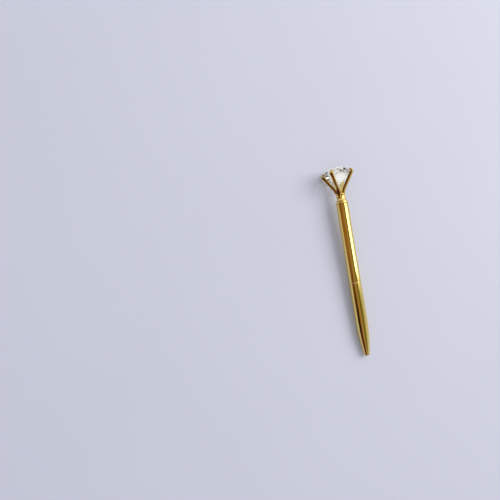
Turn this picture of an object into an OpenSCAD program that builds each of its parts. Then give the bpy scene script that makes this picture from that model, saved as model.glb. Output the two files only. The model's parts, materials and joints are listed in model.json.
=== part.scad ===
// Twist-action ballpoint pen with a brilliant-cut stone held in a claw crown.
// It lies at rest on a flat surface, on a flat of its stone's girdle and on the shoulder of
// its nose. The claws on either side of that flat keep it from rolling.
// Every piece is drawn along its own long axis, Z, from the nose end at 0 to the head,
// and laid() then puts it in its resting place: head towards +Y, +Z up, and the origin
// under the middle of the pen, on the surface that it lies on.

/* [Barrel] */
// Outside diameter of both halves of the barrel
barrel_d = 9; // [7.5:0.1:12]
// Length of the lower half, from the nose end to the centre ring
lower_l = 54.3; // [45:0.1:70]
// Length of the upper half
upper_l = 59.3; // [45:0.1:80]
// Wall of the drawn brass tube
wall_t = 0.45; // [0.3:0.05:0.6]
// Length of the rounded nose
nose_l = 27; // [20:0.5:33]
// Diameter of the flat end of the nose
nose_end_d = 3.8; // [3.6:0.1:5]
// Length of the solid end of the nose, which guides the point
nose_guide_l = 3; // [2:0.1:4]

/* [Trim rings] */
// Width of the ring between the halves
centre_ring_w = 0.8; // [0.6:0.1:2]
// How far that ring stands proud of the barrel
centre_ring_proud = 0.2; // [0.2:0.05:0.4]
// Width of the collar under the crown
collar_w = 1; // [0.8:0.1:2.4]
// How far the collar stands proud of the barrel
collar_proud = 0.4; // [0.1:0.05:0.8]
// Width of the grooves above and below the collar
groove_w = 0.6; // [0.3:0.05:0.8]
// Depth of those grooves below the barrel's surface
groove_depth = 0.5; // [0.2:0.05:0.7]

/* [Crown] */
// Number of claws
claw_n = 4; // [4:4:8]
// Width of a claw
claw_w = 2.5; // [1.2:0.1:3]
// Thickness of a claw
claw_t = 2.1; // [1.2:0.1:2.4]
// Radius on which a claw bends outwards from the neck
claw_bend_r = 12; // [8:0.5:13]
// How far a claw's tip reaches in over the stone
claw_hook = 1.1; // [0.7:0.1:1.6]
// Thickness of a claw's tip above the stone
claw_tip_t = 0.9; // [0.6:0.1:1.4]
// Diameter of the bead at the foot of the crown
foot_d = 8.4; // [7:0.1:9]
// Height of that bead
foot_h = 0.8; // [0.5:0.1:1.4]
// Diameter of the neck
neck_d = 6.2; // [5:0.1:7]
// Height of the neck above the foot bead
neck_rise = 1.9; // [1.5:0.1:3.5]
// Height of the fork between the claws above the neck
fork_rise = 2.8; // [1.5:0.1:4]

/* [Stone] */
// Diameter of the stone
stone_d = 20.8; // [16:0.1:24]
// Height of the stone's upper part
crown_h = 4.5; // [2.5:0.1:5]
// Depth of the stone's lower part
pavilion_h = 7.7; // [6:0.1:9]
// Diameter across the corners of the table
table_d = 12; // [9:0.1:13]
// Thickness of the girdle
girdle_t = 0.5; // [0.3:0.05:1]
// Height of the girdle's middle above the crown's foot
stone_rise = 21.3; // [17:0.1:25]

/* [Refill] */
// Diameter of the refill's tube
refill_d = 3; // [2.5:0.1:3.6]
// Length of refill that reaches past the lower half, into the mechanism
refill_reach = 14.7; // [13.5:0.1:16]
// Wall of the refill's tube
refill_wall = 0.3; // [0.2:0.05:0.4]
// Diameter of the point's shank
point_d = 2.3; // [1.9:0.1:2.6]
// Length of the point, from ball to tube
point_l = 10.5; // [7:0.1:14]
// Diameter of the writing ball
ball_d = 1; // [0.5:0.1:1.2]
// How far the ball stands inside the nose when the point is in
ball_depth = 1.5; // [0.5:0.1:2.4]
// Length of the ink column in the tube
ink_l = 38; // [5:1:42]
// Length of the grease plug behind the ink
grease_l = 3; // [1:0.5:5]

/* [Twist mechanism] */
// How far the point travels
travel = 5; // [3:0.1:6]
// How far the upper half turns to drive that travel, in degrees
turn = 180; // [120:5:200]
// Diameter of the drive pin
pin_d = 1; // [0.8:0.1:1.2]
// Wall of the cam tube
cam_wall = 0.55; // [0.45:0.05:0.65]
// Length of the cam tube
cam_l = 20.5; // [18:0.5:26]
// Wall of the slotted sleeve
sleeve_wall = 0.65; // [0.55:0.05:0.75]
// Length of the sleeve inside the lower half
sleeve_hold = 12.3; // [8:0.1:15]
// Depth of the sleeve's grooves for its ring and its clip
sleeve_groove = 0.3; // [0.2:0.05:0.35]
// Width of the friction ring
friction_w = 2; // [1:0.1:3]
// Length of the bush in the mouth of the upper half
mouth_l = 2.9; // [2:0.1:4]
// Thickness of the thrust washer
washer_t = 0.4; // [0.3:0.05:0.8]
// Thickness of the retaining clip
clip_t = 0.6; // [0.4:0.05:1]
// Length of the slider
slider_l = 14; // [12:0.5:16]
// Length of tube gripped by the slider
slider_grip = 8; // [5:0.5:9]

/* [Head fastening] */
// Length of the plug inside the upper half
plug_l = 8.5; // [6:0.5:12]
// Diameter of the plug's spigot, which centres the collar
spigot_d = 5.2; // [4.4:0.1:5.6]
// Diameter of the stud
stud_d = 3; // [2:0.1:3.4]
// Length of stud in the plug
stud_in_plug = 6; // [4:0.5:8]
// Length of stud in the crown
stud_in_crown = 4; // [2.5:0.5:5]

/* [Fits] */
// Radial clearance between pieces that turn or slide on each other
run_gap = 0.08; // [0.03:0.01:0.1]
// Radial clearance between pieces that are pressed or glued together
seat_gap = 0.02; // [0.01:0.01:0.03]
// Gap between end faces that turn on each other
face_gap = 0.12; // [0.05:0.01:0.3]
// Clearance on each side of the drive pin in its slots
slot_gap = 0.15; // [0.1:0.01:0.25]

/* [Hidden] */
$fn = 96;
ARC_STEPS = 24;            // straight pieces in the nose's arc
BEND_STEPS = 10;           // straight pieces in a claw's bend
TWIST_STEPS = 24;          // slices of a helical slot
EPS = 0.01;                // overshoot of a cut past the face it opens
barrel_r = barrel_d / 2;
bore_r = barrel_r - wall_t;

// The nose is a tangent ogive: one arc from its flat end to the barrel's side.
nose_drop = barrel_r - nose_end_d / 2;
nose_arc_r = (nose_l * nose_l + nose_drop * nose_drop) / (2 * nose_drop);
guide_r = point_d / 2 + run_gap;

// Radii of the mechanism, from the barrel's bore inwards
cam_r = bore_r - seat_gap;
cam_bore_r = cam_r - cam_wall;
sleeve_r = cam_bore_r - run_gap;
sleeve_bore_r = sleeve_r - sleeve_wall;
slider_r = sleeve_bore_r - run_gap;
pin_r = pin_d / 2;
slot_r = pin_r + slot_gap;
pin_reach = cam_r - 0.25;

// Heights along the axis, from the nose end
ring_z = lower_l;
upper_z = lower_l + centre_ring_w + face_gap;
barrel_top = upper_z + upper_l;
collar_z = barrel_top + groove_w;
crown_z = collar_z + collar_w;
cam_z = upper_z + mouth_l;
cam_top = cam_z + cam_l;
washer_z = cam_top + face_gap;
clip_z = washer_z + washer_t;
sleeve_z = lower_l - sleeve_hold;
sleeve_top = clip_z + clip_t + 1;
ball_z = ball_depth + ball_d / 2;
tube_z = ball_depth + point_l;
tube_top = lower_l + refill_reach;
tube_bore_r = refill_d / 2 - refill_wall;
shank_l = 4;
slider_z = tube_top - slider_grip;
pin_z = tube_top + 3;
friction_z = cam_z + 1.5;

// Stone
stone_r = stone_d / 2;
table_r = table_d / 2;
stone_z = crown_z + stone_rise;
girdle_top = stone_z + girdle_t / 2;
girdle_low = stone_z - girdle_t / 2;
stone_top = girdle_top + crown_h;
culet_z = girdle_low - pavilion_h;
half_side = 180 / 16;                      // half a side of the sixteen-sided girdle
flat_r = stone_r * cos(half_side);
star_r = (table_r * cos(22.5) + stone_r) / 2;
star_h = crown_h * (stone_r - star_r * cos(22.5)) / (stone_r - table_r);
lower_half_r = 0.26 * stone_r;
lower_half_h = pavilion_h * (1 - lower_half_r * cos(22.5) / stone_r);

// Crown: each claw leaves the neck on an arc and then runs straight to its shoulder
neck_r = neck_d / 2;
neck_z = crown_z + groove_w + foot_h + neck_rise;
fork_z = neck_z + fork_rise;
shoulder_r = stone_r + claw_t * 0.95;
shoulder_z = stone_z - 0.7;
bend_x = shoulder_r - neck_r - claw_bend_r;
bend_z = shoulder_z - neck_z;
claw_lean = acos(-claw_bend_r / norm([bend_x, bend_z])) - atan2(bend_z, bend_x);
inner_bend_r = claw_bend_r + claw_t;
tip_r = flat_r - claw_hook;

// Rest: a plane touches the nose's arc and whichever reaches lower at the head, the flat of
// the girdle or the corners of the two lowest claws
half_step = 180 / claw_n;
claw_low = shoulder_r * cos(half_step) + claw_w / 2 * sin(half_step);
function lean_on(u, v) = let (across = v + nose_arc_r - barrel_r)
    acos(nose_arc_r / norm([u - nose_l, across])) - atan2(u - nose_l, across);
tilt = max(lean_on(girdle_low, flat_r), lean_on(shoulder_z, claw_low));
rest_h = nose_arc_r - nose_l * sin(tilt) - (nose_arc_r - barrel_r) * cos(tilt);
back_y = -nose_end_d / 2 * sin(tilt);
front_y = stone_top * cos(tilt) + table_r * cos(half_side) * sin(tilt);
mid_y = (back_y + front_y) / 2;

// Puts a piece drawn along Z in its resting place. Its own +Y side is then underneath.
module laid() {
    translate([0, -mid_y, rest_h])
        rotate([tilt - 90, 0, 0])
            children();
}

// A plain tube or, without a bore, a rod, from z along the axis
module tube(z, l, r, bore = 0) {
    translate([0, 0, z])
        difference() {
            cylinder(h = l, r = r);
            if (bore > 0)
                translate([0, 0, -EPS])
                    cylinder(h = l + 2 * EPS, r = bore);
        }
}

// Radius of the nose's arc at a height, sunk below the surface by some depth
function nose_r(z, depth = 0) =
    barrel_r - nose_arc_r + sqrt(pow(nose_arc_r - depth, 2) - pow(nose_l - z, 2));

// Points along the nose's arc, from one height to another
function nose_points(from, to, depth = 0) =
    [for (i = [0 : ARC_STEPS]) let (z = from + (to - from) * i / ARC_STEPS) [nose_r(z, depth), z]];

module lower_barrel() {
    color("goldenrod")
        laid()
            rotate_extrude()
                polygon(concat(
                    [[guide_r, 0]],
                    nose_points(0, nose_l),
                    [[barrel_r, lower_l], [bore_r, lower_l]],
                    nose_points(nose_l, nose_guide_l, wall_t),
                    [[guide_r, nose_guide_l]]
                ));
}

module coupling_bush() {
    color("darkgoldenrod")
        laid()
            tube(sleeve_z + 1, sleeve_hold - 1, bore_r - seat_gap, sleeve_r + seat_gap);
}

module centre_ring() {
    color("gold")
        laid()
            rotate_extrude()
                bead(ring_z, centre_ring_w, barrel_r + centre_ring_proud, sleeve_r + seat_gap, 0.15);
}

// Half section of a ring with its outer edges broken
module bead(z, w, r, bore, edge) {
    polygon([
        [bore, z], [r - edge, z], [r, z + edge],
        [r, z + w - edge], [r - edge, z + w], [bore, z + w]
    ]);
}

// Straight slot across a tube, along which the drive pin slides
module straight_slot(r) {
    for (side = [0, 180])
        rotate([0, 0, side]) {
            for (z = [pin_z - travel, pin_z])
                translate([sleeve_bore_r - 1, 0, z])
                    rotate([0, 90, 0])
                        cylinder(h = r - sleeve_bore_r + 2, r = slot_r);
            translate([sleeve_bore_r - 1, -slot_r, pin_z - travel])
                cube([r - sleeve_bore_r + 2, 2 * slot_r, travel]);
        }
}

// Groove turned around the outside of a tube
module turned_groove(z, w, r, depth) {
    translate([0, 0, z])
        difference() {
            cylinder(h = w, r = r + 1);
            translate([0, 0, -EPS])
                cylinder(h = w + 2 * EPS, r = r - depth);
        }
}

module slotted_sleeve() {
    color("silver")
        laid()
            difference() {
                tube(sleeve_z, sleeve_top - sleeve_z, sleeve_r, sleeve_bore_r);
                straight_slot(sleeve_r);
                turned_groove(friction_z, friction_w + 2 * seat_gap, sleeve_r, sleeve_groove);
                turned_groove(clip_z, clip_t + seat_gap, sleeve_r, sleeve_groove);
            }
}

module friction_ring() {
    color("dimgray")
        laid()
            tube(friction_z + seat_gap, friction_w, cam_bore_r - run_gap / 2,
                 sleeve_r - sleeve_groove + seat_gap);
}

module thrust_washer() {
    color("white")
        laid()
            tube(washer_z, washer_t, cam_r - 0.3, sleeve_r + seat_gap);
}

// Open ring, snapped into its groove
module retaining_clip() {
    gap = 2;
    color("gray")
        laid()
            difference() {
                tube(clip_z + seat_gap / 2, clip_t, sleeve_r + 0.35,
                     sleeve_r - sleeve_groove + seat_gap);
                translate([-gap / 2, 0, clip_z - 1])
                    cube([gap, cam_r, clip_t + 2]);
            }
}

module upper_barrel() {
    color("goldenrod")
        laid()
            tube(upper_z, upper_l, barrel_r, bore_r);
}

module mouth_bush() {
    color("darkgoldenrod")
        laid()
            tube(upper_z, mouth_l, bore_r - seat_gap, sleeve_r + run_gap);
}

// Helical slot: a sector that turns as it climbs, a little longer than the pin's own path.
// As the upper half turns, it carries the drive pin down from the slot's top to its bottom.
module helical_slot() {
    rise = norm([travel, cam_bore_r * turn * PI / 180]);
    half = asin(slot_r * rise / travel / cam_bore_r);
    reach = (cam_r + 1) / cos(half);
    over = slot_r / travel;
    translate([0, 0, pin_z - travel - slot_r])
        rotate([0, 0, -turn * (1 + over)])
            linear_extrude(height = travel + 2 * slot_r, twist = -turn * (1 + 2 * over),
                           slices = TWIST_STEPS, segments = 3)
                polygon([[0, 0], [reach * cos(half), -reach * sin(half)],
                         [reach * cos(half), reach * sin(half)]]);
}

module cam_tube() {
    color("burlywood")
        laid()
            difference() {
                tube(cam_z, cam_l, cam_r, cam_bore_r);
                for (side = [0, 180])
                    rotate([0, 0, side])
                        helical_slot();
            }
}

module end_plug() {
    stud_hole = stud_d / 2 + seat_gap;
    color("darkgoldenrod")
        laid()
            difference() {
                union() {
                    tube(barrel_top - plug_l, plug_l, bore_r - seat_gap);
                    tube(barrel_top, groove_w, barrel_r - groove_depth);
                    tube(collar_z, collar_w, spigot_d / 2);
                }
                translate([0, 0, barrel_top - stud_in_plug])
                    cylinder(h = crown_z - barrel_top + stud_in_plug + 1, r = stud_hole);
            }
}

module head_stud() {
    color("silver")
        laid()
            tube(barrel_top - stud_in_plug + seat_gap,
                 crown_z + stud_in_crown - barrel_top + stud_in_plug - 2 * seat_gap, stud_d / 2);
}

module collar_ring() {
    color("gold")
        laid()
            rotate_extrude()
                bead(collar_z, collar_w, barrel_r + collar_proud, spigot_d / 2 + seat_gap, 0.3);
}

// Point on a claw's bend, at an angle from the neck
function bend_point(angle, r) = [
    neck_r + claw_bend_r - r * cos(angle),
    neck_z + r * sin(angle)
];

// Side view of one claw, from the neck to its tip, before the stone's notch is cut
module claw_outline() {
    outer = [for (i = [0 : BEND_STEPS]) bend_point(claw_lean * i / BEND_STEPS, claw_bend_r)];
    inner = [for (i = [BEND_STEPS : -1 : 0]) bend_point(claw_lean * i / BEND_STEPS, inner_bend_r)];
    inner_end = inner[0];
    seat_low = shoulder_z - 0.4;
    inner_top = [inner_end[0] + (seat_low - inner_end[1]) * tan(claw_lean), seat_low];
    crown_slope = star_h / (stone_r - star_r) / cos(half_side);
    tip_top = girdle_top + (flat_r - tip_r) * crown_slope + claw_tip_t;
    side_top = girdle_top + 0.6;
    round_r = shoulder_r - tip_r - 0.5;
    tip_arc = [for (a = [0 : 15 : 90]) [
        tip_r + 0.5 + round_r * cos(a), side_top + (tip_top - side_top) * sin(a)
    ]];
    polygon(concat(
        outer,
        [[shoulder_r, shoulder_z]],
        tip_arc,
        [[tip_r, tip_top - 0.35], [tip_r, stone_z - 0.5], inner_top],
        inner
    ));
}

// Section of the stone across one of its flats, with a little room around it, cut from a claw
module stone_notch() {
    r = flat_r + seat_gap;
    star = star_r * cos(half_side) + seat_gap;
    lower_half = lower_half_r * cos(half_side);
    polygon([
        [0, girdle_low - lower_half_h], [lower_half, girdle_low - lower_half_h - seat_gap],
        [r, girdle_low - seat_gap], [r, girdle_top + seat_gap],
        [star, girdle_top + star_h + seat_gap], [0, stone_top]
    ]);
}

module claw_crown() {
    fork_angle = asin(fork_rise / claw_bend_r);
    bowl = [for (i = [0 : BEND_STEPS]) bend_point(fork_angle * i / BEND_STEPS, claw_bend_r)];
    neck_in = foot_d / 2 - neck_r;
    foot_top = crown_z + groove_w + foot_h;
    neck_curve = [for (a = [0 : 15 : 75]) [
        foot_d / 2 - neck_in * sin(a), neck_z - neck_rise * cos(a)
    ]];
    color("goldenrod")
        laid()
            difference() {
                union() {
                    rotate_extrude()
                        polygon(concat(
                            [[0, crown_z], [barrel_r - groove_depth, crown_z],
                             [barrel_r - groove_depth, crown_z + groove_w],
                             [foot_d / 2, crown_z + groove_w], [foot_d / 2, foot_top - EPS]],
                            neck_curve,
                            bowl,
                            [[0, fork_z - 1]]
                        ));
                    for (k = [0 : claw_n - 1])
                        rotate([90, 0, 90 + (k + 0.5) * 360 / claw_n])
                            linear_extrude(height = claw_w, center = true)
                                difference() {
                                    claw_outline();
                                    stone_notch();
                                }
                }
                translate([0, 0, crown_z - EPS])
                    cylinder(h = stud_in_crown + EPS, r = stud_d / 2 + seat_gap);
            }
}

// Eightfold brilliant: table, stars, bezels, upper girdle, girdle, lower girdle, mains
module stone() {
    table_ring = [for (k = [0 : 7]) [table_r * cos(45 * k), table_r * sin(45 * k), stone_top]];
    star_ring = [for (k = [0 : 7]) let (a = 45 * k + 22.5)
        [star_r * cos(a), star_r * sin(a), girdle_top + star_h]];
    top_ring = [for (k = [0 : 15]) [stone_r * cos(22.5 * k), stone_r * sin(22.5 * k), girdle_top]];
    low_ring = [for (k = [0 : 15]) [stone_r * cos(22.5 * k), stone_r * sin(22.5 * k), girdle_low]];
    half_ring = [for (k = [0 : 7]) let (a = 45 * k + 22.5)
        [lower_half_r * cos(a), lower_half_r * sin(a), girdle_low - lower_half_h]];
    star = 8;
    top = 16;
    low = 32;
    half = 48;
    culet = 56;
    faces = concat(
        [[for (k = [7 : -1 : 0]) k]],
        [for (k = [0 : 7]) [k, (k + 1) % 8, star + k]],
        [for (k = [0 : 7]) [k, star + k, top + 2 * k]],
        [for (k = [0 : 7]) [k, top + 2 * k, star + (k + 7) % 8]],
        [for (k = [0 : 7]) [star + k, top + 2 * k + 1, top + 2 * k]],
        [for (k = [0 : 7]) [star + k, top + (2 * k + 2) % 16, top + 2 * k + 1]],
        [for (k = [0 : 15]) [top + k, top + (k + 1) % 16, low + (k + 1) % 16, low + k]],
        [for (k = [0 : 7]) [half + k, low + 2 * k, low + 2 * k + 1]],
        [for (k = [0 : 7]) [half + k, low + 2 * k + 1, low + (2 * k + 2) % 16]],
        [for (k = [0 : 7]) [culet, low + 2 * k, half + k]],
        [for (k = [0 : 7]) [culet, half + (k + 7) % 8, low + 2 * k]]
    );
    color("lightcyan", 0.6)
        laid()
            rotate([0, 0, half_side])
                polyhedron(
                    points = concat(table_ring, star_ring, top_ring, low_ring, half_ring,
                                    [[0, 0, culet_z]]),
                    faces = faces
                );
}

module refill_slider() {
    color("ivory")
        laid()
            difference() {
                tube(slider_z, slider_l, slider_r);
                translate([0, 0, slider_z - EPS])
                    cylinder(h = slider_grip + seat_gap + EPS, r = refill_d / 2 + seat_gap);
                translate([-slider_r - 1, 0, pin_z])
                    rotate([0, 90, 0])
                        cylinder(h = 2 * slider_r + 2, r = pin_r + seat_gap);
            }
}

module drive_pin() {
    color("silver")
        laid()
            translate([-pin_reach, 0, pin_z])
                rotate([0, 90, 0])
                    cylinder(h = 2 * pin_reach, r = pin_r);
}

module refill_tube() {
    color("darkkhaki")
        laid()
            tube(tube_z, tube_top - tube_z, refill_d / 2, tube_bore_r);
}

module refill_point() {
    lip_z = ball_z - ball_d * 0.24;
    lip_r = ball_d / 2 + 0.1;
    cone_l = 3.2;
    collar_l = 0.6;
    color("khaki")
        laid()
            difference() {
                rotate_extrude()
                    polygon([
                        [0, lip_z], [lip_r, lip_z], [point_d / 2, lip_z + cone_l],
                        [point_d / 2, tube_z - collar_l], [refill_d / 2, tube_z - collar_l],
                        [refill_d / 2, tube_z], [tube_bore_r - seat_gap, tube_z],
                        [tube_bore_r - seat_gap, tube_z + shank_l], [0, tube_z + shank_l]
                    ]);
                translate([0, 0, ball_z])
                    sphere(r = ball_d / 2 + seat_gap);
                translate([0, 0, ball_z])
                    cylinder(h = tube_z + shank_l, r = ball_d / 4);
            }
}

module ink_column() {
    color("midnightblue")
        laid()
            tube(tube_z + shank_l, ink_l, tube_bore_r - seat_gap);
}

module grease_plug() {
    color("wheat")
        laid()
            tube(tube_z + shank_l + ink_l, grease_l, tube_bore_r - seat_gap);
}

module writing_ball() {
    color("lightgray")
        laid()
            translate([0, 0, ball_z])
                sphere(r = ball_d / 2);
}

lower_barrel();
coupling_bush();
centre_ring();
slotted_sleeve();
friction_ring();
thrust_washer();
retaining_clip();
upper_barrel();
mouth_bush();
cam_tube();
end_plug();
head_stud();
collar_ring();
claw_crown();
stone();
refill_slider();
drive_pin();
refill_tube();
refill_point();
ink_column();
grease_plug();
writing_ball();
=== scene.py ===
"""Looks of a twist-action ballpoint pen with a cut stone in its crown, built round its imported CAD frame."""
import json
import math

import bmesh
import bpy
from bpy.props import FloatProperty, FloatVectorProperty, IntProperty, PointerProperty
from mathutils import Matrix, Vector


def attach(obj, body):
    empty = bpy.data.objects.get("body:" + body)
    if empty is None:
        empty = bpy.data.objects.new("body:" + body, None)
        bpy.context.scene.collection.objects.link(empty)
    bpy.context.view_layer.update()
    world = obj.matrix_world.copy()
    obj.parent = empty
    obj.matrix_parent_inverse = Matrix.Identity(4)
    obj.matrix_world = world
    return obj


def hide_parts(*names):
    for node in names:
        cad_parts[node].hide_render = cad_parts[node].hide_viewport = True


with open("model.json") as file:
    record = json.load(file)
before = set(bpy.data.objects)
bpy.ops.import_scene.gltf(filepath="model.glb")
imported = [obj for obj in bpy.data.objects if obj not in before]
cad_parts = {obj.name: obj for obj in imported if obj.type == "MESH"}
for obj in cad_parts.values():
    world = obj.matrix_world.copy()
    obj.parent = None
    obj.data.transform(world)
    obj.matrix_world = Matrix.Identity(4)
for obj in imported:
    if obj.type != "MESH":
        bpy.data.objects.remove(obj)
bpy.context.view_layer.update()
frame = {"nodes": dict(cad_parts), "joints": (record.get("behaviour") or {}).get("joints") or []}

bl_info = {
    "name": "Crystal crown twist pen",
    "version": (1, 0, 0),
    "blender": (4, 5, 0),
    "location": "View3D > Sidebar > Pen",
    "description": "Builds a gold-plated twist ballpoint pen with a brilliant-cut stone",
    "category": "Add Mesh",
}

MM = 0.001
MICRON = 0.000001
HAIR = 0.02 * MM         # distance of a holding loop from the rounding that it holds
SEAM = HAIR / 50         # points that are closer than this are merged
FIT = 0.02 * MM          # radial gap of pieces that are pressed or glued together
TURNED_CRISP, CAST_CRISP = math.radians(50), math.radians(28)    # sharper edges stay crisp

# Sections along a claw's bend, its straight bar, its fold and its hook
BEND_STEPS, BAR_STEPS, FOLD_STEPS, HOOK_STEPS = 12, 8, 12, 7
TIP_SHARE = 0.12         # a claw's last section, as a share of the hook's
EDGE_SHARE = 0.3         # the least rounding in its tip, as a share of the rounding along it


# Where things are: every place comes from the frame, measured along the pen's own axis

TWIST = next(j for j in frame["joints"] if j["name"] == "barrel_twist")
AXIS = Vector(TWIST["axis"]).normalized()
DOWN = Vector((0, AXIS.z, -AXIS.y))


def heights(node):
    """Lowest and highest point of a CAD node along the pen's axis, from the row's origin."""
    spots = [AXIS.dot(v.co) for v in frame["nodes"][node].data.vertices]
    return min(spots), max(spots)


NOSE = Vector(TWIST["pos_m"]) + AXIS * (heights("lower_barrel")[0] - AXIS.dot(Vector(TWIST["pos_m"])))
LAID = Matrix.Translation(NOSE) @ Matrix((
    (1, DOWN.x, AXIS.x), (0, DOWN.y, AXIS.y), (0, DOWN.z, AXIS.z))).to_4x4()
TO_PEN = LAID.inverted()


def local(node):
    """A CAD node's points in the pen's own frame: Z along the axis from the nose's end."""
    return [TO_PEN @ v.co for v in frame["nodes"][node].data.vertices]


def span(node):
    """Lowest and highest Z of a CAD node in the pen's own frame."""
    low, high = heights(node)
    start = AXIS.dot(NOSE)
    return low - start, high - start


def reach(node):
    """Largest radius of a CAD node about the pen's axis."""
    return max(math.hypot(p.x, p.y) for p in local(node))


def bore(node):
    """Smallest radius of a CAD node about the pen's axis."""
    return min(math.hypot(p.x, p.y) for p in local(node))


# Colour and nodes

def srgb(code):
    """Linear colour of a hex code."""
    parts = [int(code[i:i + 2], 16) / 255 for i in (1, 3, 5)]
    return [c / 12.92 if c <= 0.04045 else ((c + 0.055) / 1.055) ** 2.4 for c in parts]


def colour_prop(name, code, description):
    """A colour that the user can change, with its default from a hex code."""
    return FloatVectorProperty(name=name, description=description, subtype="COLOR", size=3,
                               min=0, max=1, default=srgb(code))


def length_prop(name, size, description, **limits):
    """A length that the user can change."""
    return FloatProperty(name=name, description=description, default=size, unit="LENGTH",
                         precision=5, **limits)


def angle_prop(name, degrees, description):
    """An angle that the user can change."""
    return FloatProperty(name=name, description=description, default=math.radians(degrees),
                         subtype="ANGLE")


def scaled(colour, factor):
    """A colour made lighter or darker."""
    return [min(1, c * factor) for c in colour]


def add(tree, kind, *values, named=None, stops=(), **settings):
    """Adds a node to a tree. Values fill its inputs in order, and named ones by name or number: a
    node or a socket is linked, None is left alone and anything else is set. Stops are the places
    and colours of a ramp, in order."""
    made = tree.nodes.new(kind)
    for key, value in settings.items():
        setattr(made, key, value)
    sockets = [socket for socket in made.inputs if socket.enabled]
    by_name = {socket.name: socket for socket in reversed(sockets)}
    pairs = list(zip(sockets, values))
    pairs += [(sockets[key] if isinstance(key, int) else by_name[key], value)
              for key, value in (named or {}).items()]
    for socket, value in pairs:
        if isinstance(value, bpy.types.Node):
            value = next(output for output in value.outputs if output.enabled)
        if isinstance(value, bpy.types.NodeSocket):
            tree.links.new(value, socket)
        elif value is not None:
            short = socket.type == "RGBA" and len(value) == 3
            socket.default_value = [*value, 1] if short else value
    if stops:
        spots = made.color_ramp.elements
        spots.remove(spots[1])
        spots[0].position = stops[0][0]
        for place, _ in stops[1:]:
            spots.new(place)
        for spot, (_, colour) in zip(spots, stops):
            spot.color = [*colour, 1]
    return made


def finish(recipe, settings):
    """The material that a recipe makes, made once and named for it. The recipe fills a Principled
    shader, and gets coordinates that run along the pen."""
    material = bpy.data.materials.get(recipe.__name__)
    if not material:
        material = bpy.data.materials.new(recipe.__name__)
        material.use_nodes = True
        tree = material.node_tree
        tree.nodes.clear()
        shader = add(tree, "ShaderNodeBsdfPrincipled")
        add(tree, "ShaderNodeOutputMaterial", shader)
        place = add(tree, "ShaderNodeTexCoord")
        along = add(tree, "ShaderNodeMapping", place.outputs["Object"],
                    named={"Rotation": TO_PEN.to_euler()})
        recipe(tree, shader, along, settings)
    return material


def grain(tree, along, size, stretch=(1, 1, 1), detail=2.0, rough=0.5):
    """An uneven pattern whose lumps measure size metres, made longer along an axis by a stretch."""
    grid = add(tree, "ShaderNodeMapping", along, named={"Scale": [1 / size / s for s in stretch]})
    return add(tree, "ShaderNodeTexNoise", grid,
               named={"Scale": 1.0, "Detail": detail, "Roughness": rough})


def surface(tree, shader, shade=None, rough=(), relief=(), **fixed):
    """Fills a shader. Its colour is a pattern followed by (place, colour) stops, its roughness a sum
    of (pattern, from, to) layers, and its relief (pattern, depth) layers laid one over the other.
    Anything else is a socket's fixed value."""
    found = {}
    if shade:
        found["Base Color"] = add(tree, "ShaderNodeValToRGB", shade[0], stops=shade[1:])
    for pattern, start, end in rough:
        layer = add(tree, "ShaderNodeMapRange", pattern, 0.3, 0.7, start, end)
        below = found.get("Roughness")
        found["Roughness"] = (add(tree, "ShaderNodeMath", below, layer, operation="ADD")
                              if below else layer)
    for pattern, depth in relief:
        found["Normal"] = add(tree, "ShaderNodeBump", named={
            "Strength": 1.0, "Distance": depth, "Height": pattern, "Normal": found.get("Normal")})
    for socket, node in found.items():
        tree.links.new(node.outputs[0], shader.inputs[socket])
    for socket, value in fixed.items():
        shader.inputs[socket.replace("_", " ")].default_value = value


# Materials, each named for what the real one is. Marks along the pen and marks round it are the
# same grain, stretched one way or the other.

TURNED = (300, 300, 1)
DRAWN = (1, 1, 60)


def gold_plated_drawn_brass(tree, shader, along, look):
    """Gold electroplate on a drawn tube, polished lengthwise on a buff: a mirror with faint
    hairlines along the pen, a slight ripple and the dull film that fingers leave."""
    film = grain(tree, along, 7 * MM, (1, 1, 2.5), 3)
    hairs = grain(tree, along, 0.09 * MM, (1, 1, 90), 3, 0.6)   # drawn coarse: real ones are 5 microns
    ripple = grain(tree, along, 1.6 * MM, (1, 1, 4), 1)
    tone = grain(tree, along, 16 * MM, (1, 1, 2))
    surface(tree, shader, (tone, (0.3, look.gold_deep), (0.7, look.gold)),
            ((film, look.gold_rough * 0.6, look.gold_rough * 1.9), (hairs, 0, 0.035)),
            ((ripple, 2.2 * MICRON), (hairs, 0.25 * MICRON)), Metallic=1)


def gold_plated_turned_brass(tree, shader, along, look):
    """Gold electroplate over rings turned on a lathe: bright, with very fine circles left by the
    tool, which catch the light as a soft band."""
    circles = grain(tree, along, 0.05 * MM, (400, 400, 1), 2)
    film = grain(tree, along, 2 * MM)
    tone = grain(tree, along, 5 * MM)
    surface(tree, shader, (tone, (0.3, look.gold), (0.7, look.gold_light)),
            ((film, look.gold_rough * 0.7, look.gold_rough * 1.6),),
            ((circles, 0.5 * MICRON),), Metallic=1)


def gold_plated_die_casting(tree, shader, along, look):
    """Gold electroplate over a tumbled zinc casting: polished like the barrel, but with the
    softer, slightly wavy skin of a casting and a deeper colour where the plate is thicker."""
    skin = grain(tree, along, 0.9 * MM)
    pits = grain(tree, along, 0.22 * MM, detail=1)
    film = grain(tree, along, 3 * MM, detail=3)
    tone = grain(tree, along, 4 * MM)
    surface(tree, shader, (tone, (0.32, look.gold_deep), (0.68, look.gold)),
            ((film, look.gold_rough * 0.8, look.gold_rough * 2.2),),
            ((skin, 4 * MICRON), (pits, 0.6 * MICRON)), Metallic=1)


def cut_crystal(tree, shader, along, look):
    """Pressed and flame-polished crystal: clear, a little cool, its facets not quite flat, with
    a trace of the film that fingers leave."""
    film = grain(tree, along, 3.5 * MM, detail=3)
    swell = grain(tree, along, 5 * MM, detail=0)
    surface(tree, shader, None, ((film, 0.0, 0.03),), ((swell, 8 * MICRON),),
            Base_Color=[*look.crystal, 1], IOR=1.54, Transmission_Weight=1)


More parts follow.
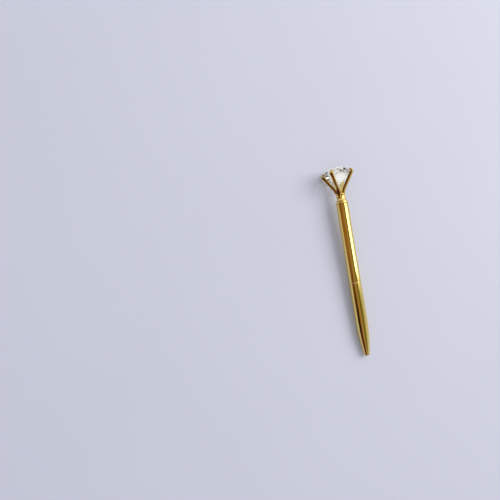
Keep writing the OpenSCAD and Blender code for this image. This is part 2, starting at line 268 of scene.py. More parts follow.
def ground_crystal(tree, shader, along, look):
    """The girdle of the stone, ground and left unpolished: a fine, milky band."""
    grit = grain(tree, along, 0.08 * MM)
    surface(tree, shader, None, ((grit, 0.25, 0.5),), ((grit, 4 * MICRON),),
            Base_Color=[*scaled(look.crystal, 0.96), 1], IOR=1.54, Transmission_Weight=0.85)


def bare_metal(tree, shader, along, pale, deep, rough, mark, depth, stretch):
    """A metal with a first stain and the marks that its making left."""
    marks = grain(tree, along, mark, stretch, 3)
    stain = grain(tree, along, 2.5 * MM, detail=4)
    surface(tree, shader, (stain, (0.3, srgb(deep)), (0.7, srgb(pale))),
            ((stain, rough * 1.5, rough * 0.8),), ((marks, depth),), Metallic=1)


def turned_brass(tree, shader, along, look):
    """Free-cutting brass off the lathe, unplated: yellow, with tool rings and a first tarnish."""
    bare_metal(tree, shader, along, "#D9B566", "#B98F46", 0.28, 0.06 * MM, 2 * MICRON, TURNED)


def bright_steel(tree, shader, along, look):
    """Cold-drawn steel: grey and bright, with fine draw lines."""
    bare_metal(tree, shader, along, "#C9CACB", "#A5A6A9", 0.24, 0.05 * MM, MICRON, DRAWN)


def spring_steel(tree, shader, along, look):
    """Tempered spring steel: dark, with the brown and blue of its heat."""
    bare_metal(tree, shader, along, "#7F7C80", "#5A5148", 0.34, 0.05 * MM, MICRON, TURNED)


def drawn_refill_brass(tree, shader, along, look):
    """Thin drawn brass of a refill's tube: pale, with long draw lines."""
    bare_metal(tree, shader, along, "#DCC084", "#C4A360", 0.22, 0.05 * MM, MICRON, DRAWN)


def turned_nickel_silver(tree, shader, along, look):
    """Nickel silver of a writing point: a warm white metal with fine tool rings."""
    bare_metal(tree, shader, along, "#D8CFBD", "#B9AE99", 0.2, 0.04 * MM, MICRON, TURNED)


def ground_carbide(tree, shader, along, look):
    """Sintered carbide ground to a ball: a neutral grey with a fine, even grain."""
    bare_metal(tree, shader, along, "#A9ABAF", "#8F9196", 0.18, 0.02 * MM, 0.5 * MICRON, (1, 1, 1))


def moulded(tree, shader, along, pale, deep, rough, speck, depth, **fixed):
    """A moulded or filled material with the grain of its tool and the streaks of its flow."""
    specks = grain(tree, along, speck, detail=3)
    flow = grain(tree, along, 4 * MM, (1, 1, 2))
    surface(tree, shader, (flow, (0.3, srgb(deep)), (0.7, srgb(pale))),
            ((specks, rough * 0.85, rough * 1.2),), ((specks, depth),), **fixed)


def moulded_acetal(tree, shader, along, look):
    """Acetal, moulded in its natural white: waxy and a little translucent."""
    moulded(tree, shader, along, "#EFEBDD", "#E2DCCB", 0.38, 0.1 * MM, 3 * MICRON,
            Subsurface_Weight=0.2, Subsurface_Scale=0.5 * MM)


def damping_rubber(tree, shader, along, look):
    """Nitrile rubber with a trace of damping grease: black and soft."""
    moulded(tree, shader, along, "#2B2B2D", "#1E1E20", 0.55, 0.08 * MM, 4 * MICRON,
            Coat_Weight=0.3, Coat_Roughness=0.2)


def oil_based_ink(tree, shader, along, look):
    """Thick blue-black ballpoint ink: almost black, glossy, with a blue to purple edge."""
    moulded(tree, shader, along, "#161A3E", "#0B0D24", 0.12, 0.4 * MM, 2 * MICRON,
            Coat_Weight=0.6, Coat_Roughness=0.08)


def follower_grease(tree, shader, along, look):
    """Clear amber grease that follows the ink down its tube."""
    moulded(tree, shader, along, "#F2E3AE", "#E3CC85", 0.15, 0.6 * MM, 3 * MICRON,
            Transmission_Weight=0.6, IOR=1.47)


def smooth_studio_board(tree, shader, along, stage):
    """Matt board of a studio table: pale, with the faint tooth of its paper face. Clear things
    show it as an even near-white, without the shadow that lies under them."""
    tooth = grain(tree, along, 0.35 * MM, detail=3)
    cloud = grain(tree, along, 90 * MM)
    surface(tree, shader, (cloud, (0.3, scaled(stage.floor_colour, 0.985)), (0.7, stage.floor_colour)),
            (), ((tooth, 6 * MICRON),), Roughness=0.75, Specular_IOR_Level=0.25)
    through = add(tree, "ShaderNodeEmission", srgb("#F7F4EE"), 1.0)
    ray = add(tree, "ShaderNodeLightPath")
    seen = add(tree, "ShaderNodeMixShader", ray.outputs["Is Transmission Ray"], shader, through)
    tree.links.new(seen.outputs[0], tree.get_output_node("ALL").inputs[0])


def painted_reflection_felt(tree, shader, along, stage):
    """A studio card that lights nothing, casts no shadow and is seen only in polished metal and through the
    stone. Its colours, brown to dark red along its length, are a painted reflection of a dim room, which
    shows only as a dark line in polished metal."""
    place = add(tree, "ShaderNodeTexCoord").outputs["Object"]
    ahead = add(tree, "ShaderNodeSeparateXYZ", place).outputs[1]
    nose_end, head_end = -0.6, 0.2
    side = add(tree, "ShaderNodeMapRange", ahead, nose_end, head_end, 0.0, 1.0)
    # Painted reflection colours of a dim room, in stops from the card's nose end to its head end
    tan, crimson, wine, black = srgb("#7A5428"), srgb("#6B2434"), srgb("#4A161C"), srgb("#22120E")
    umber, ochre, brown = srgb("#3A2412"), srgb("#A27238"), srgb("#4A3014")
    surface(tree, shader, (side, (0.18, tan), (0.24, crimson), (0.44, wine), (0.54, black),
                           (0.61, umber), (0.74, ochre), (0.84, ochre), (0.91, brown)),
            Roughness=0.95, Specular_IOR_Level=0.1)


# Geometry trees

def new_tree(name, *inputs):
    """An empty geometry tree with a Geometry input, further named inputs and a Geometry output."""
    tree = bpy.data.node_groups.new(name, "GeometryNodeTree")
    tree.interface.new_socket("Geometry", in_out="OUTPUT", socket_type="NodeSocketGeometry")
    tree.interface.new_socket("Geometry", in_out="INPUT", socket_type="NodeSocketGeometry")
    for label, kind in inputs:
        tree.interface.new_socket(label, in_out="INPUT", socket_type=kind)
    return tree, tree.nodes.new("NodeGroupInput")


def close_tree(tree, geometry, material):
    """Ends a tree in Realize Instances and Set Material."""
    real = add(tree, "GeometryNodeRealizeInstances", geometry)
    dressed = add(tree, "GeometryNodeSetMaterial", real, named={"Material": material})
    add(tree, "NodeGroupOutput", dressed)
    return tree


def lathe_tree():
    """Turns a half section about Z: each column of a grid takes one point of the section, and
    each row one angle. Edges that are sharper than the limit stay crisp."""
    tree = bpy.data.node_groups.get("lathe")
    if tree:
        return tree
    tree, given = new_tree("lathe", ("Sides", "NodeSocketInt"), ("Crisp Angle", "NodeSocketFloat"),
                           ("Material", "NodeSocketMaterial"))
    section = given.outputs["Geometry"]
    count = add(tree, "GeometryNodeAttributeDomainSize", section).outputs["Point Count"]
    rows = add(tree, "ShaderNodeMath", given.outputs["Sides"], 1, operation="ADD")
    grid = add(tree, "GeometryNodeMeshGrid", 1.0, 1.0, count, rows)
    place = add(tree, "GeometryNodeInputPosition")
    spot = add(tree, "ShaderNodeSeparateXYZ", place)
    last = add(tree, "ShaderNodeMath", count, 1, operation="SUBTRACT")
    across = add(tree, "ShaderNodeMath", spot.outputs[0], 0.5, operation="ADD")
    column = add(tree, "ShaderNodeMath", across, last, operation="MULTIPLY")
    whole = add(tree, "ShaderNodeMath", column, operation="ROUND")
    up = add(tree, "ShaderNodeMath", spot.outputs[1], 0.5, operation="ADD")
    angle = add(tree, "ShaderNodeMath", up, math.tau, operation="MULTIPLY")
    sample = add(tree, "GeometryNodeSampleIndex", data_type="FLOAT_VECTOR", domain="POINT",
                 named={"Geometry": section, "Index": whole, "Value": place})
    point = add(tree, "ShaderNodeSeparateXYZ", sample)
    radius, height = point.outputs[0], point.outputs[2]
    cosine = add(tree, "ShaderNodeMath", angle, operation="COSINE")
    sine = add(tree, "ShaderNodeMath", angle, operation="SINE")
    x = add(tree, "ShaderNodeMath", radius, cosine, operation="MULTIPLY")
    y = add(tree, "ShaderNodeMath", radius, sine, operation="MULTIPLY")
    turned = add(tree, "ShaderNodeCombineXYZ", x, y, height)
    moved = add(tree, "GeometryNodeSetPosition", grid, named={"Position": turned})
    closed = add(tree, "GeometryNodeMergeByDistance", moved, named={"Distance": SEAM})
    bend = add(tree, "GeometryNodeInputMeshEdgeAngle")
    corner = add(tree, "FunctionNodeCompare", data_type="FLOAT", operation="GREATER_THAN",
                 named={0: bend, 1: given.outputs["Crisp Angle"]})
    crisp = add(tree, "GeometryNodeSetShadeSmooth", closed, corner, False, domain="EDGE")
    return close_tree(tree, crisp, given.outputs["Material"])


def ring_tree():
    """Sets copies of a piece evenly round Z, the first one turned by an angle."""
    tree = bpy.data.node_groups.get("claw_ring")
    if tree:
        return tree
    tree, given = new_tree("claw_ring", ("Count", "NodeSocketInt"), ("First Angle", "NodeSocketFloat"),
                           ("Material", "NodeSocketMaterial"))
    count = given.outputs["Count"]
    line = add(tree, "GeometryNodeMeshLine", count,
               named={"Start Location": (0, 0, 0), "Offset": (0, 0, 0)})
    step = add(tree, "ShaderNodeMath", math.tau, count, operation="DIVIDE")
    place = add(tree, "GeometryNodeInputIndex")
    past = add(tree, "ShaderNodeMath", place, step, operation="MULTIPLY")
    angle = add(tree, "ShaderNodeMath", past, given.outputs["First Angle"], operation="ADD")
    turn = add(tree, "ShaderNodeCombineXYZ", 0.0, 0.0, angle)
    copies = add(tree, "GeometryNodeInstanceOnPoints", line,
                 named={"Instance": given.outputs["Geometry"], "Rotation": turn})
    return close_tree(tree, copies, given.outputs["Material"])


def run_tree(name, mesh, tree, **inputs):
    """Runs a geometry tree on a mesh and returns its result as a plain object."""
    carrier = bpy.data.objects.new(name, mesh)
    bpy.context.scene.collection.objects.link(carrier)
    modifier = carrier.modifiers.new("shape", "NODES")
    modifier.node_group = tree
    for item in tree.interface.items_tree:
        key = item.name.replace(" ", "_").lower()
        if item.in_out == "INPUT" and key in inputs:
            modifier[item.identifier] = inputs[key]
    return bake(carrier)


def bake(carrier):
    """Puts an object's evaluated shape in its own mesh, with no modifier left."""
    graph = bpy.context.evaluated_depsgraph_get()
    plain = bpy.data.meshes.new_from_object(carrier.evaluated_get(graph))
    carrier.modifiers.clear()
    carrier.data = plain
    plain.name = carrier.name
    kept = next(material for material in plain.materials if material)
    plain.materials.clear()
    plain.materials.append(kept)
    for face in plain.polygons:
        face.material_index = 0
    return carrier


def outward(mesh):
    """Merges doubles and turns every face outwards."""
    work = bmesh.new()
    work.from_mesh(mesh)
    bmesh.ops.remove_doubles(work, verts=work.verts, dist=SEAM)
    bmesh.ops.recalc_face_normals(work, faces=work.faces)
    work.to_mesh(mesh)
    work.free()


# Shapes

def rounded(points, radii, steps=6):
    """A closed section with its corners rounded. Each rounding is an arc with a holding point on
    each side, so that the shading of long faces stays straight."""
    out = []
    size = len(points)
    for i, (here, radius) in enumerate(zip(points, radii)):
        here, before, after = Vector(here), Vector(points[i - 1]), Vector(points[(i + 1) % size])
        if radius <= 0:
            out.append(here)
            continue
        to_before, to_after = (before - here).normalized(), (after - here).normalized()
        half = to_before.angle(to_after) / 2
        cut = radius / math.tan(half)
        centre = here + (to_before + to_after).normalized() * (radius / math.sin(half))
        first, last = here + to_before * cut, here + to_after * cut
        out.append(first + to_before * HAIR)
        start, sweep = first - centre, (first - centre).angle(last - centre)
        turn = 1 if start.x * (last - centre).y - start.y * (last - centre).x > 0 else -1
        for k in range(steps + 1):
            a = turn * sweep * k / steps
            out.append(centre + Vector((start.x * math.cos(a) - start.y * math.sin(a),
                                        start.x * math.sin(a) + start.y * math.cos(a))))
        out.append(last + to_after * HAIR)
    return out


def section_mesh(name, points, closed=True):
    """A half section as a mesh of points in the XZ plane."""
    mesh = bpy.data.meshes.new(name)
    loop = list(points) + ([points[0]] if closed else [])
    mesh.from_pydata([(p[0], 0, p[1]) for p in loop], [(i, i + 1) for i in range(len(loop) - 1)], [])
    return mesh


def turned_piece(name, points, material, sides, closed=True):
    """A piece turned about the pen's axis from its half section, in its place in the pen."""
    piece = run_tree(name, section_mesh(name, points, closed), lathe_tree(), sides=sides,
                     crisp_angle=TURNED_CRISP, material=material)
    outward(piece.data)
    return piece


def settle(piece, body, node):
    """Lays a finished piece in its resting place, on its body and in place of its CAD node."""
    piece.data.transform(LAID)
    piece.data.update()
    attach(piece, body)
    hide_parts(node)


def arc(centre, radius, start, end, steps):
    """Points on an arc, with angles in degrees from the first axis."""
    return [(centre[0] + radius * math.cos(math.radians(start + (end - start) * i / steps)),
             centre[1] + radius * math.sin(math.radians(start + (end - start) * i / steps)))
            for i in range(steps + 1)]


# Sizes and colours that a user would change

class BarrelSizes(bpy.types.PropertyGroup):
    """Roundings and fineness of the turned pieces."""
    sides: IntProperty(name="Sides", description="Faces round a turned piece", default=192, min=48)
    nose_steps: IntProperty(name="Nose steps", description="Rings of faces along the nose",
                            default=72, min=12)
    edge: length_prop("Edge", 0.12 * MM, "Rounding of the barrel's cut ends", min=0.02 * MM)
    lip: length_prop("Nose lip", 0.3 * MM, "Rounding of the nose's end", min=0.05 * MM)
    nose_length: length_prop("Nose length", 27 * MM, "Length of the rounded nose")
    wall: length_prop("Wall", 0.45 * MM, "Thickness of the barrel's tube")
    guide: length_prop("Guide", 3 * MM, "Length of the solid end of the nose")


class CrownSizes(bpy.types.PropertyGroup):
    """Sizes of the crown's claws and foot."""
    claws: IntProperty(name="Claws", description="Number of claws", default=4, min=3)
    width: length_prop("Claw width", 2.5 * MM, "Width of a claw across the pen")
    thickness: length_prop("Claw thickness", 2.1 * MM, "Thickness of a claw's bar")
    bend: length_prop("Bend", 12 * MM, "Radius of a claw's outer bend from the neck")
    edge: length_prop("Claw edge", 0.2 * MM, "Rounding of a claw's long edges")
    neck: length_prop("Neck radius", 3.1 * MM, "Radius of the neck")
    groove: length_prop("Groove", 0.6 * MM, "Width of the groove between collar and crown")
    groove_depth: length_prop("Groove depth", 0.5 * MM, "Depth of that groove below the barrel's surface")
    bead: length_prop("Bead", 0.8 * MM, "Height of the bead at the crown's foot")
    bead_radius: length_prop("Bead radius", 4.2 * MM, "Radius of that bead")
    neck_rise: length_prop("Neck rise", 1.9 * MM, "Height of the neck above the bead")
    fork: length_prop("Fork", 2.8 * MM, "Height of the fork above the neck")
    root: length_prop("Root", 1.2 * MM, "How far a claw reaches down into the neck")
    sink: length_prop("Sink", 0.05 * MM,
                      "How far a claw's outer face stays inside the crown's largest radius")
    drop: length_prop("Drop", 0.2 * MM, "How far below the girdle a claw starts to fold")
    fold: length_prop("Fold", 1.3 * MM, "Radius of the fold over the girdle")
    hook: angle_prop("Hook", 72, "Angle of the hook from the pen's axis")
    hook_length: length_prop("Hook length", 1.4 * MM, "Length of the hook past its fold")
    hook_narrows: FloatProperty(name="Hook narrows", description="Share of the width that is lost "
                                "towards the hook's end", default=0.12, min=0, max=0.9)
    hook_thins: FloatProperty(name="Hook thins", description="Share of the thickness that is lost "
                              "towards the hook's end", default=0.42, min=0, max=0.9)


class StoneSizes(bpy.types.PropertyGroup):
    """Proportions of the brilliant cut."""
    table: FloatProperty(name="Table", description="Table's width as a share of the stone's",
                         default=0.577, min=0.4, max=0.8)
    pavilion: FloatProperty(name="Lower halves", description="Radius at which the lower halves end, "
                            "as a share of the stone's", default=0.26, min=0.1, max=0.6)
    girdle: length_prop("Girdle", 0.5 * MM, "Thickness of the girdle")
    crown: length_prop("Crown", 4.5 * MM, "Height of the part above the girdle")
    edge: length_prop("Facet edge", 0.05 * MM, "Rounding of the edges between facets")


class FinishColours(bpy.types.PropertyGroup):
    """Colours of the plating and the stone."""
    gold: colour_prop("Gold", "#EED688", "Plating as most of it looks")
    gold_deep: colour_prop("Deep gold", "#E6C972", "Plating where it is thicker")
    gold_light: colour_prop("Light gold", "#F3DD90", "Plating on the turned rings")
    gold_rough: FloatProperty(name="Gold roughness", description="Roughness of the plating",
                              default=0.06, min=0.01, max=0.5)
    crystal: colour_prop("Crystal", "#FBFDFF", "Tint of the stone")


class StageSettings(bpy.types.PropertyGroup):
    """Floor, light and camera."""
    floor_colour: colour_prop("Floor", "#E0E4F4", "Colour of the table board")
    floor_size: length_prop("Floor size", 6.0, "Width of the floor")
    key: FloatProperty(name="Key light", description="Brightness of the large lamp's face on the "
                       "right, where 1 is white", default=3.9, min=0)
    key_colour: colour_prop("Key colour", "#FFF9F1", "Colour of the lamp, a little warm")
    key_away: length_prop("Key distance", 1.5, "The lamp's distance from the pen")
    key_rise: angle_prop("Key rise", 49, "The lamp's angle above the floor")
    key_wide: length_prop("Key width", 1.0, "The lamp's size along the pen")
    key_tall: length_prop("Key height", 1.1, "The lamp's size across the pen")
    key_back: length_prop("Key back", 0.14, "How far the lamp reaches past the pen's middle")
    card_away: length_prop("Card distance", 0.55, "The dark card's distance from the pen")
    card_low: length_prop("Card bottom", 0.01, "The card's lower edge over the floor")
    card_high: length_prop("Card top", 0.5, "The card's upper edge over the floor")
    card_from: angle_prop("Card start", 160, "Angle from the right at which the card starts, on the left")
    card_sweep: angle_prop("Card sweep", 105, "How far round the card bends, towards the nose")
    window: FloatProperty(name="Window", description="Brightness of the surroundings beyond the "
                          "head, as polished metal shows them", default=2.2, min=0)
    fill: FloatProperty(name="Fill", description="Strength of the surroundings as they are seen",
                        default=1.0, min=0)
    fill_share: FloatProperty(name="Fill share", description="Share of that strength that lights "
                              "matt surfaces", default=0.62, min=0, max=1)
    height: length_prop("Camera height", 0.355, "Camera's height over the floor")
    left: length_prop("Camera left", 0.163, "Camera's distance left of the pen's middle")
    back: length_prop("Camera back", 0.010, "Camera's distance towards the nose")
    aim_left: length_prop("Aim left", 0.0744, "Where the view's middle meets the floor, left of the pen")
    aim_ahead: length_prop("Aim ahead", 0.0202, "Where the view's middle meets the floor, towards the head")
    roll: angle_prop("Camera roll", 9.7, "Turn of the camera about its own view")
    lens: FloatProperty(name="Lens", description="Focal length in millimetres on a 36 mm sensor",
                        default=36.07)


# Operators, one for each piece or group of like pieces

class PEN_OT_lower_barrel(bpy.types.Operator):
    """Lower half of the barrel: a drawn tube that closes in one long arc to a rolled lip"""
    bl_idname = "pen.lower_barrel"
    bl_label = "Lower barrel"

    def execute(self, context):
        size, look = context.scene.pen_barrel, context.scene.pen_finish
        top = span("lower_barrel")[1]
        radius, hole = reach("lower_barrel"), bore("lower_barrel")
        flush = 0.01 * MM
        end = max(math.hypot(p.x, p.y) for p in local("lower_barrel") if p.z < flush)
        drop = radius - end
        bow = (size.nose_length ** 2 + drop ** 2) / (2 * drop)

        def nose(z, depth):
            return radius - bow + math.sqrt((bow - depth) ** 2 - (size.nose_length - z) ** 2)

        crowding = 1.3      # sets the rings closer together towards the nose's end
        rings = [size.lip + (size.nose_length - size.lip) * (i / size.nose_steps) ** crowding
                 for i in range(size.nose_steps + 1)]
        outside = [(nose(z, 0), z) for z in rings]
        inside = [(nose(z, size.wall), z) for z in reversed(rings) if z > size.guide]
        rim = radius - size.wall
        lip = arc((outside[0][0] - size.lip, size.lip), size.lip, 0, -90, 8)[::-1]
        mouth_r = 0.2 * MM
        mouth = arc((hole + mouth_r, mouth_r), mouth_r, 180, 270, 5)
        top_edge = rounded([(radius, size.nose_length), (radius, top), (rim, top),
                            (rim, size.nose_length)], [0, size.edge, size.edge / 2, 0])
        points = mouth + lip + outside[1:] + [tuple(p) for p in top_edge[1:-1]]
        points += inside + [(nose(size.guide, size.wall), size.guide), (hole, size.guide)]
        piece = turned_piece("lower_barrel_shell", points, finish(gold_plated_drawn_brass, look),
                             size.sides)
        settle(piece, "lower", "lower_barrel")
        return {"FINISHED"}


class PEN_OT_upper_barrel(bpy.types.Operator):
    """Upper half of the barrel: a plain drawn tube with its cut ends broken"""
    bl_idname = "pen.upper_barrel"
    bl_label = "Upper barrel"

    def execute(self, context):
        size, look = context.scene.pen_barrel, context.scene.pen_finish
        low, top = span("upper_barrel")
        radius, hole = reach("upper_barrel"), bore("upper_barrel")
        points = rounded([(hole, low), (radius, low), (radius, top), (hole, top)],
                         [size.edge / 2, size.edge, size.edge, size.edge / 2])
        piece = turned_piece("upper_barrel_shell", points, finish(gold_plated_drawn_brass, look),
                             size.sides)
        settle(piece, "upper", "upper_barrel")
        return {"FINISHED"}


class PEN_OT_trim_rings(bpy.types.Operator):
    """Centre ring and collar: turned rings with rounded edges, and the plug in the barrel's top"""
    bl_idname = "pen.trim_rings"
    bl_label = "Trim rings and plug"

    def execute(self, context):
        size, look = context.scene.pen_barrel, context.scene.pen_finish
        rings = (("centre_ring", "lower", 0.3), ("collar_ring", "upper", 0.45))
        for node, body, round_share in rings:
            low, top = span(node)
            radius, hole = reach(node), bore(node)
            soft = (top - low) * round_share
            points = rounded([(hole, low), (radius, low), (radius, top), (hole, top)],
                             [0, soft, soft, 0], steps=10)
            piece = turned_piece(node + "_band", points, finish(gold_plated_turned_brass, look),
                                 size.sides)
            settle(piece, body, node)
        low, top = span("end_plug")
        collar_low, collar_top = span("collar_ring")
        barrel_top = span("upper_barrel")[1]
        stud = reach("head_stud") + FIT
        foot = span("head_stud")[0]
        body_r, spigot = bore("upper_barrel") - FIT, bore("collar_ring") - FIT
        flange = reach("upper_barrel") - context.scene.pen_crown.groove_depth
        edge, foot_edge = 0.08 * MM, 0.3 * MM
        points = rounded([(0, low), (body_r, low), (body_r, barrel_top), (flange, barrel_top),
                          (flange, collar_low), (spigot, collar_low), (spigot, collar_top),
                          (stud, collar_top), (stud, foot), (0, foot)],
                         [0, foot_edge, 0, edge, edge, 0, edge, edge, edge, 0])
        piece = turned_piece("end_plug_body", points, finish(turned_brass, look), 96, closed=False)
        settle(piece, "upper", "end_plug")
        return {"FINISHED"}


class PEN_OT_crown(bpy.types.Operator):
    """Crown: a cast foot and neck with claws that bend out, stand up and fold over the stone"""
    bl_idname = "pen.crown"
    bl_label = "Claw crown"

    def execute(self, context):
        size, look, cut = context.scene.pen_crown, context.scene.pen_finish, context.scene.pen_stone
        material = finish(gold_plated_die_casting, look)
        body = turned_piece("claw_crown_cast", self.neck_section(size), material, 128)
        first = math.radians(90) + math.pi / size.claws
        claws = run_tree("claws", self.claw_mesh(size, cut), ring_tree(), count=size.claws,
                         first_angle=first, material=material)
        outward(claws.data)
        cutter = bpy.data.objects.new("stone_cutter", brilliant_mesh(cut, grow=FIT))
        context.scene.collection.objects.link(cutter)
        for other, how in ((claws, "UNION"), (cutter, "DIFFERENCE")):
            work = body.modifiers.new(how, "BOOLEAN")
            work.operation = how
            work.solver = "EXACT"
            work.use_self = True
            work.object = other
        bake(body)
        for used in (claws, cutter):
            bpy.data.objects.remove(used)
        body.data.shade_smooth()
        body.data.set_sharp_from_angle(angle=CAST_CRISP)
        settle(body, "upper", "claw_crown")
        return {"FINISHED"}

    @staticmethod
    def levels(size):
        """Heights of the crown's foot, of its bead's top and of the neck, where the claws begin."""
        foot = span("claw_crown")[0]
        bead_top = foot + size.groove + size.bead
        return foot, bead_top, bead_top + size.neck_rise

    def neck_section(self, size):
        """Half section of the foot bead, the neck and the bowl that the claws leave, with the blind
        hole for the stud."""
        foot, bead_top, neck_z = self.levels(size)
        bead_low, groove_r = foot + size.groove, reach("upper_barrel") - size.groove_depth
        bead_edge, shelf, lobe_r = 0.4 * MM, 0.3 * MM, 0.35 * MM
        hole, hole_top = 1.5 * MM, foot + 4 * MM
        dish_r, dish_rise, floor_rise, near_axis = 0.8 * MM, 0.6 * MM, 0.3 * MM, 0.001 * MM
        bead = arc((size.bead_radius - bead_edge, bead_low + bead_edge), bead_edge, -90, 60, 8)
        wide = size.bead_radius - shelf
        sweep = [(wide - (wide - size.neck) * math.sin(math.radians(a)),
                  neck_z - (neck_z - bead_top) * math.cos(math.radians(a))) for a in range(6, 91, 6)]
        angle = math.degrees(math.asin(size.fork / size.bend))
        bowl = arc((size.neck + size.bend, neck_z), size.bend, 180, 180 - angle, 10)
        lobe = arc((bowl[-1][0] - lobe_r, bowl[-1][1]), lobe_r, 0, 120, 6)
        return ([(hole, foot), (groove_r, foot), (groove_r, bead_low)] + bead + sweep + bowl[1:]
                + lobe[1:] + [(dish_r, neck_z + dish_rise), (near_axis, neck_z + floor_rise),
                              (near_axis, hole_top), (hole, hole_top)])

    def claw_path(self, size, cut):
        """Points along a claw's middle in the XZ plane, each with the angle by which it leans
        outwards there: out of the neck, round the bend, up the bar, over the fold, along the hook."""
        neck_z = self.levels(size)[2]
        middle = size.bend + size.thickness / 2
        girdle = span("stone")[1] - cut.crown - cut.girdle / 2
        shoulder = Vector((reach("claw_crown") - size.thickness / 2 - size.sink, girdle - size.drop))
        centre = Vector((size.neck + size.bend, neck_z))
        gap = shoulder - centre
        lean = math.acos(-middle / gap.length) - math.atan2(gap.y, gap.x)
        path = [(Vector((size.neck - size.thickness / 2, neck_z - size.root)), 0.0)]
        for i in range(BEND_STEPS + 1):
            a = lean * i / BEND_STEPS
            path.append((centre + middle * Vector((-math.cos(a), math.sin(a))), a))
        start = path[-1][0]
        path += [(start.lerp(shoulder, i / BAR_STEPS), lean) for i in range(1, BAR_STEPS + 1)]
        pivot = shoulder + size.fold * Vector((-math.cos(lean), math.sin(lean)))
        for i in range(1, FOLD_STEPS + 1):
            a = lean - (lean + size.hook) * i / FOLD_STEPS
            path.append((pivot + size.fold * Vector((math.cos(a), -math.sin(a))), a))
        end, a = path[-1]
        ahead = size.hook_length * Vector((math.sin(a), math.cos(a)))
        return path + [(end + ahead * i / HOOK_STEPS, a) for i in range(1, HOOK_STEPS + 1)]

    def claw_mesh(self, size, cut):
        """One claw in the XZ plane: rounded sections along its path, which get slimmer from the
        fold on and close in a round tip."""
        path = self.claw_path(size, cut)
        last = len(path) - 1
        fold_start, tip_start = last + 1 - FOLD_STEPS - HOOK_STEPS, last + 1 - HOOK_STEPS
        work = bmesh.new()
        rings = []
        for k, (point, angle) in enumerate(path):
            late = max(0.0, (k - fold_start) / (last - fold_start))
            closing = max(0.0, (k - tip_start) / (last - tip_start))
            shrink = math.sqrt(1 - closing ** 2) if closing < 1 else TIP_SHARE
            wide = size.width * (1 - size.hook_narrows * late) * shrink
            thick = size.thickness * (1 - size.hook_thins * late) * shrink
            ring = claw_ring(point, angle, wide, thick, size.edge * max(shrink, EDGE_SHARE))
            rings.append([work.verts.new(v) for v in ring])
        for low, high in zip(rings, rings[1:]):
            for i, corner in enumerate(low):
                j = (i + 1) % len(low)
                work.faces.new((corner, low[j], high[j], high[i]))
        work.faces.new(rings[0][::-1])
        work.faces.new(rings[-1])
        bmesh.ops.recalc_face_normals(work, faces=work.faces)
        mesh = bpy.data.meshes.new("claw")
        work.to_mesh(mesh)
        work.free()
        return mesh


def claw_ring(point, angle, wide, thick, edge):
    """A rounded rectangle across a claw's path, which leans outwards by an angle."""
    edge = min(edge, 0.45 * min(wide, thick))
    out, side = Vector((math.cos(angle), 0, -math.sin(angle))), Vector((0, 1, 0))
    middle = Vector((point.x, 0, point.y))
    ring = []
    for cx, cy, start in ((1, 1, 0), (-1, 1, 90), (-1, -1, 180), (1, -1, 270)):
        corner = (cx * (thick / 2 - edge), cy * (wide / 2 - edge))
        ring += [middle + out * x + side * y for x, y in arc(corner, edge, start, start + 90, 4)]
    return ring


def brilliant_mesh(cut, grow=0.0):
    """An eightfold brilliant in the pen's own frame: table, stars, bezels and upper girdle above
    the girdle, lower girdle and mains below it. A flat of the girdle faces down."""
    low, top = span("stone")
    wide = max(math.hypot(p.x, p.y) for p in local("stone")) + grow
    girdle_top = top - cut.crown
    girdle_low = girdle_top - cut.girdle
    table = wide * cut.table
    sixteenth = math.tau / 16
    star = (table * math.cos(sixteenth) + wide) / 2
    star_z = girdle_top + cut.crown * (wide - star * math.cos(sixteenth)) / (wide - table)
    half = wide * cut.pavilion
    half_z = girdle_low - (girdle_low - low) * (1 - half / wide * math.cos(sixteenth))

    def ring(count, radius, z, shift):
        turns = [math.tau * (k + shift) / count + sixteenth / 2 for k in range(count)]
        return [Vector((radius * math.cos(a), radius * math.sin(a), z)) for a in turns]

    levels = [ring(8, table, top + grow, 0), ring(8, star, star_z + grow, 0.5),
              ring(16, wide, girdle_top + grow, 0), ring(16, wide, girdle_low - grow, 0),
              ring(8, half, half_z - grow, 0.5), [Vector((0, 0, low - grow))]]
    work = bmesh.new()
    t, s, g, b, h, c = [[work.verts.new(p) for p in level] for level in levels]
    work.faces.new(t)
    for k in range(8):
        near, beyond = (k + 1) % 8, (2 * k + 2) % 16
        work.faces.new((t[k], s[k], t[near]))
        work.faces.new((t[k], s[k - 1], g[2 * k], s[k]))
        work.faces.new((s[k], g[2 * k], g[2 * k + 1]))
        work.faces.new((s[k], g[2 * k + 1], g[beyond]))
        work.faces.new((h[k], b[2 * k + 1], b[2 * k]))
        work.faces.new((h[k], b[beyond], b[2 * k + 1]))
        work.faces.new((c[0], h[k], b[2 * k], h[k - 1]))
    for k in range(16):
        band = work.faces.new((g[k], b[k], b[(k + 1) % 16], g[(k + 1) % 16]))
        band.material_index = 1
    bmesh.ops.recalc_face_normals(work, faces=work.faces)
    mesh = bpy.data.meshes.new("brilliant")
    work.to_mesh(mesh)
    work.free()
    return mesh


class PEN_OT_stone(bpy.types.Operator):
    """Stone: an eightfold brilliant of clear crystal with slightly worn facet edges"""
    bl_idname = "pen.stone"
    bl_label = "Stone"

    def execute(self, context):
        cut, look = context.scene.pen_stone, context.scene.pen_finish
        piece = bpy.data.objects.new("brilliant_stone", brilliant_mesh(cut))
        context.scene.collection.objects.link(piece)
        piece.data.materials.append(finish(cut_crystal, look))
        piece.data.materials.append(finish(ground_crystal, look))
        work = bmesh.new()
        work.from_mesh(piece.data)
        bmesh.ops.bevel(work, geom=work.edges[:], offset=cut.edge, segments=1, profile=0.5,
                        affect="EDGES", clamp_overlap=True, material=0)
        work.to_mesh(piece.data)
        work.free()
        settle(piece, "upper", "stone")
        return {"FINISHED"}


